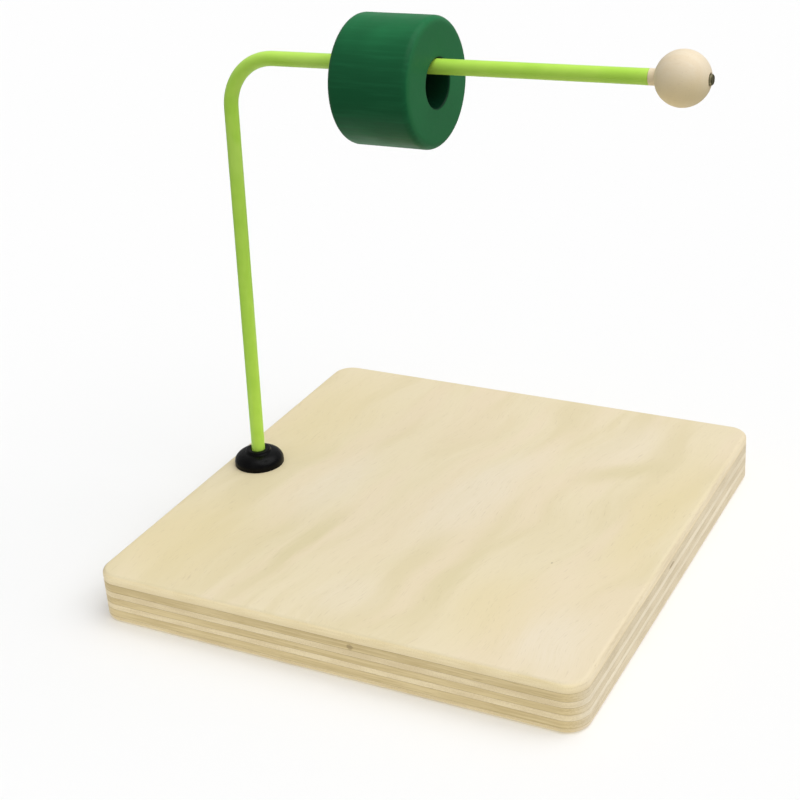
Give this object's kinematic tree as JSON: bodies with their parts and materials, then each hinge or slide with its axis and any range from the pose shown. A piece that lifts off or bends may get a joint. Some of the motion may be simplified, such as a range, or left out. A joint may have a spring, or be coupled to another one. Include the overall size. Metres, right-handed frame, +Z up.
{
  "type": "ring on bent wire threading toy",
  "caption": "Square plywood board with an upright coated wire bent over into a level arm; a painted wooden ring slides along the arm between the bend and a wooden end ball.",
  "frame": {"origin": "centre of the board's flat underside", "axes": "+Z up; +X towards the ball end of the arm, parallel to two of the board's edges; the wire lies in the plane y = 0"},
  "size_m": [0.1471, 0.14, 0.1512],
  "materials": {
    "veneer_face": "sanded birch or basswood face veneer, matt",
    "veneer_core": "sanded light core veneer, seen on its edge",
    "veneer_crossband": "sanded darker crossband veneer, seen mostly as end grain",
    "steel": "drawn steel wire, dark at its cut end",
    "green_coating": "smooth lime green plastic coating",
    "black_cap": "satin black moulded plastic",
    "green_paint": "turned wood under satin dark green paint",
    "ball_wood": "turned and sanded light wood, unpainted"
  },
  "bodies": {
    "stand": {"ply_1_bottom_face": "veneer_face", "ply_2_crossband": "veneer_crossband", "ply_3_core": "veneer_core", "ply_4_crossband": "veneer_crossband", "ply_5_core": "veneer_core", "ply_6_crossband": "veneer_crossband", "ply_7_top_face": "veneer_face", "wire_core": "steel", "wire_coating": "green_coating", "base_cap": "black_cap", "end_ball": "ball_wood"},
    "ring": {"ring": "green_paint"}
  },
  "joints": [
    {"name": "ring_slide", "type": "slide", "parent": "stand", "child": "ring", "axis": [0.9999, 0, 0.014], "range_m": [-0.037, 0.0567]}
  ]
}
